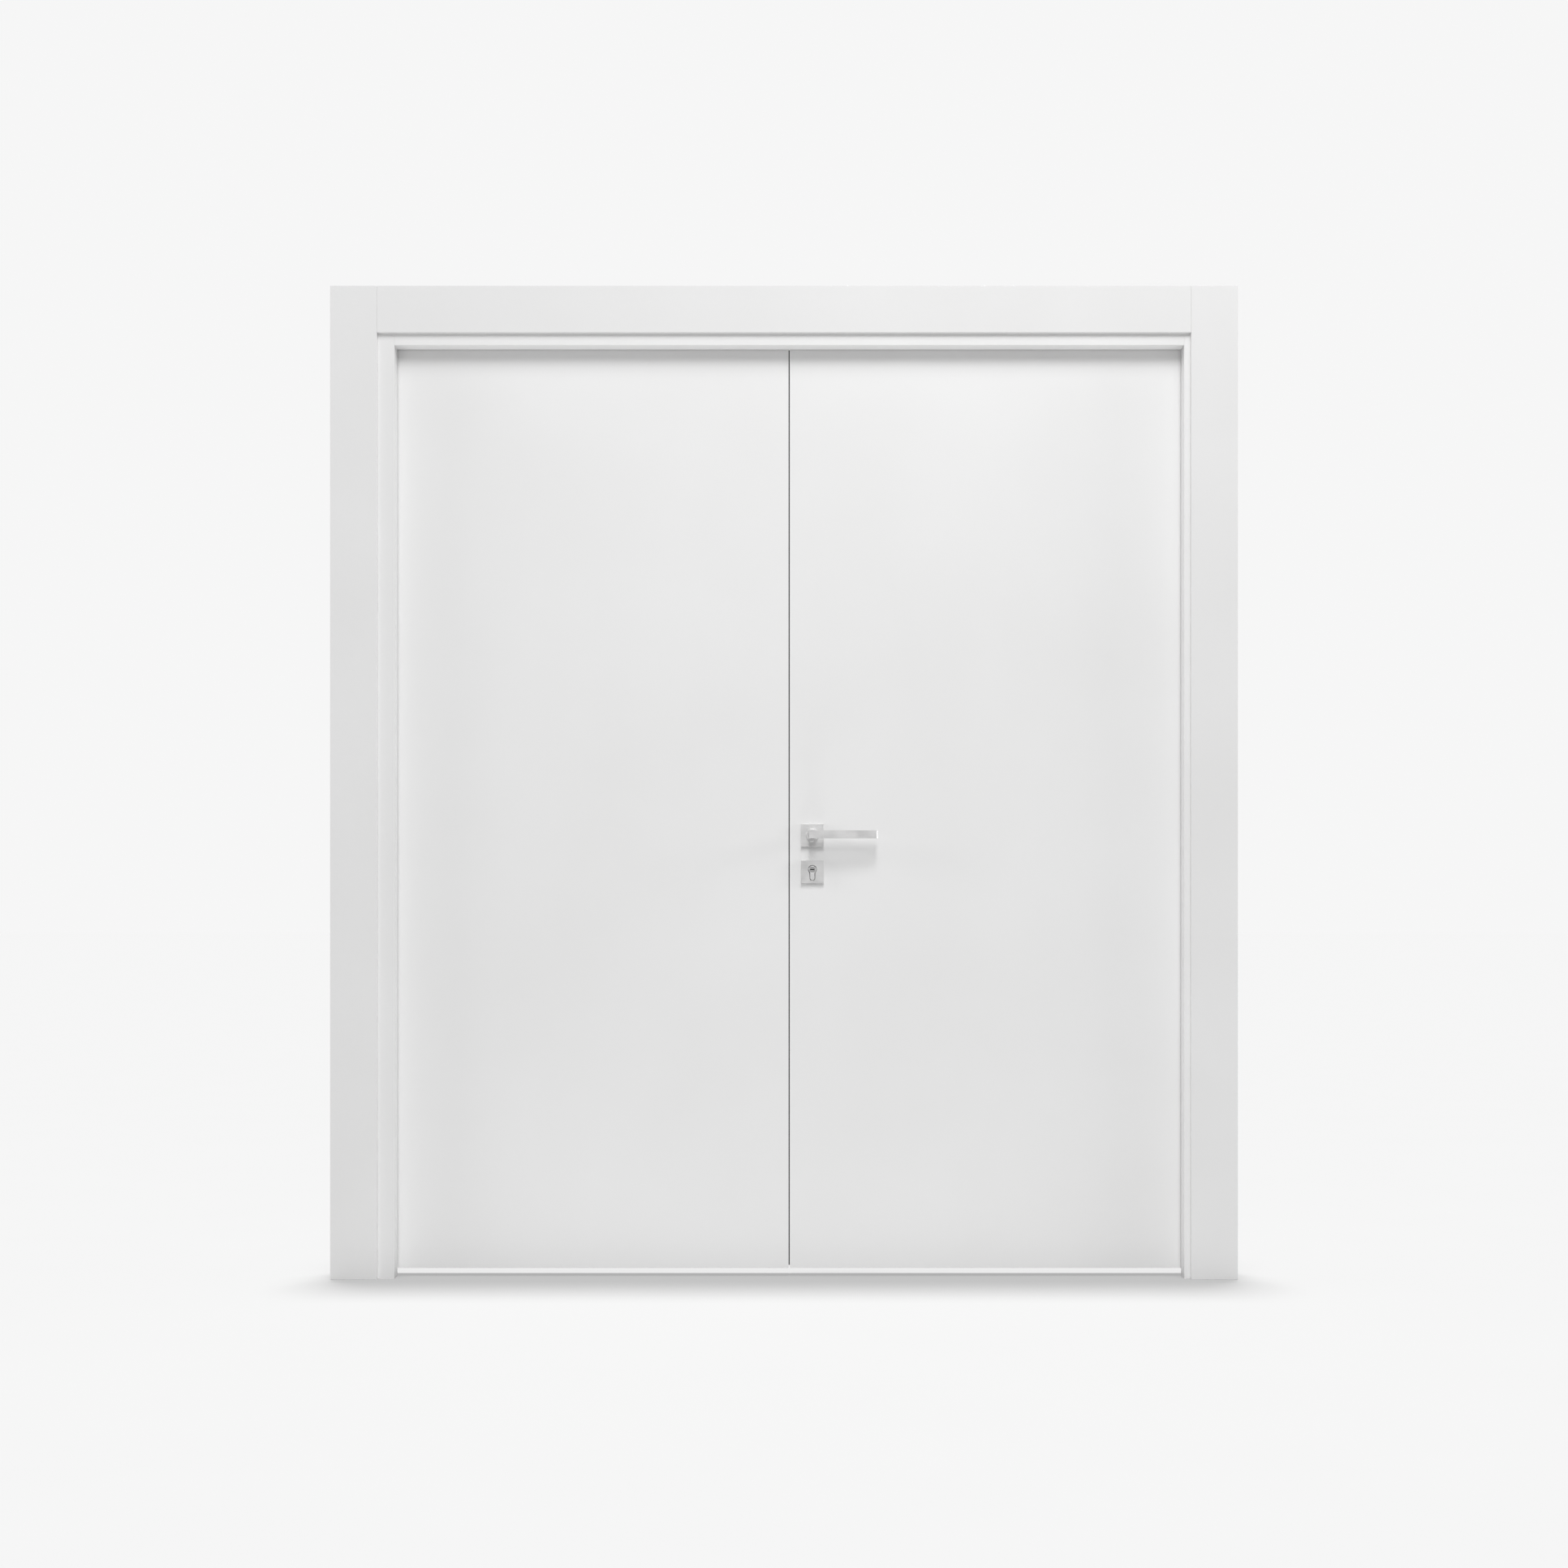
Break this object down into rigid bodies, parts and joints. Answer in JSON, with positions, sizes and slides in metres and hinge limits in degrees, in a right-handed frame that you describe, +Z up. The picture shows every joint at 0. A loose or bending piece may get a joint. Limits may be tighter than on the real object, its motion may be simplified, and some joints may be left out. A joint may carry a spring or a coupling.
{
  "type": "double flush interior door",
  "caption": "White flush double interior door in a rebated, cased frame, with lever handle, profile cylinder lock, flush bolts and butt hinges; the leaves swing and the lock works.",
  "frame": {"origin": "on the floor, midway between the outer casing edges, in the middle of the leaf thickness", "axes": "+Z up, +Y towards the side the leaves open to, +X to the right seen from the front"},
  "size_m": [2.045, 0.165, 2.239],
  "materials": {
    "painted_wood": "white satin paint",
    "core_board": "raw tubular board",
    "grey_seal": "matte light grey",
    "dark_seal": "matte dark grey",
    "satin_furniture": "satin light grey metal",
    "cylinder_metal": "satin plated metal",
    "plain_steel": "plain steel"
  },
  "bodies": {
    "frame": {"left_jamb": "painted_wood", "right_jamb": "painted_wood", "head_jamb": "painted_wood", "head_lining": "plain_steel", "front_left_casing": "painted_wood", "front_right_casing": "painted_wood", "front_head_casing": "painted_wood", "rear_left_casing": "painted_wood", "rear_right_casing": "painted_wood", "rear_head_casing": "painted_wood", "left_seal": "grey_seal", "right_seal": "grey_seal", "head_seal": "grey_seal", "left_frame_hinges": "plain_steel", "right_frame_hinges": "plain_steel", "hinge_pins": "plain_steel", "frame_screws": "plain_steel", "head_keep": "plain_steel"},
    "active_leaf": {"active_front_skin": "painted_wood", "active_rear_skin": "painted_wood", "active_hinge_stile": "painted_wood", "active_lock_stile": "painted_wood", "active_top_rail": "painted_wood", "active_bottom_rail": "painted_wood", "active_core": "core_board", "active_leaf_hinges": "plain_steel", "active_hinge_screws": "plain_steel", "lock_case": "plain_steel", "lock_forend": "plain_steel", "lock_screws": "plain_steel", "front_handle_rose": "satin_furniture", "rear_handle_rose": "satin_furniture", "front_cylinder_rose": "satin_furniture", "rear_cylinder_rose": "satin_furniture", "cylinder_body": "cylinder_metal"},
    "handle": {"front_lever": "satin_furniture", "rear_lever": "satin_furniture", "spindle": "plain_steel", "follower": "plain_steel"},
    "key_turn": {"key_plug": "cylinder_metal", "lock_cam": "plain_steel", "thumb_turn": "satin_furniture"},
    "latch": {"latch_bolt": "plain_steel"},
    "dead_bolt": {"dead_bolt": "plain_steel"},
    "inactive_leaf": {"inactive_front_skin": "painted_wood", "inactive_rear_skin": "painted_wood", "inactive_hinge_stile": "painted_wood", "inactive_meeting_stile": "painted_wood", "inactive_top_rail": "painted_wood", "inactive_bottom_rail": "painted_wood", "inactive_core": "core_board", "inactive_leaf_hinges": "plain_steel", "inactive_hinge_screws": "plain_steel", "strike_plate": "plain_steel", "flush_bolt_plates": "plain_steel", "meeting_edge_screws": "plain_steel", "meeting_seal": "dark_seal"},
    "top_bolt": {"top_flush_bolt": "plain_steel"},
    "bottom_bolt": {"bottom_flush_bolt": "plain_steel"}
  },
  "joints": [
    {"name": "active_leaf_swing", "type": "hinge", "parent": "frame", "child": "active_leaf", "pos_m": [0.915, 0.0295, 1.068], "axis": [0, 0, -1], "range_deg": [0, 170]},
    {"name": "inactive_leaf_swing", "type": "hinge", "parent": "frame", "child": "inactive_leaf", "pos_m": [-0.891, 0.0295, 1.068], "axis": [0, 0, 1], "range_deg": [0, 170]},
    {"name": "handle_turn", "type": "hinge", "parent": "active_leaf", "child": "handle", "pos_m": [0.0645, 0, 1.003], "axis": [0, 1, 0], "range_deg": [0, 35], "stiffness_Nm_per_rad": 1.5, "springref_deg": -34.38},
    {"name": "key_turn", "type": "hinge", "parent": "active_leaf", "child": "key_turn", "pos_m": [0.0645, 0, 0.925], "axis": [0, -1, 0], "range_deg": [0, 360]},
    {"name": "dead_bolt_slide", "type": "slide", "parent": "active_leaf", "child": "dead_bolt", "axis": [-1, 0, 0], "range_m": [0, 0.02]},
    {"name": "latch_slide", "type": "slide", "parent": "active_leaf", "child": "latch", "axis": [-1, 0, 0], "range_m": [0, 0.011], "stiffness_N_per_m": 60, "springref_m": -0.02},
    {"name": "top_bolt_slide", "type": "slide", "parent": "inactive_leaf", "child": "top_bolt", "axis": [0, 0, 1], "range_m": [0, 0.017]},
    {"name": "bottom_bolt_slide", "type": "slide", "parent": "inactive_leaf", "child": "bottom_bolt", "axis": [0, 0, -1], "range_m": [0, 0.017]}
  ],
  "couplings": [
    {"joint": "key_turn", "follows": "dead_bolt_slide", "rad_per_m": 314}
  ]
}
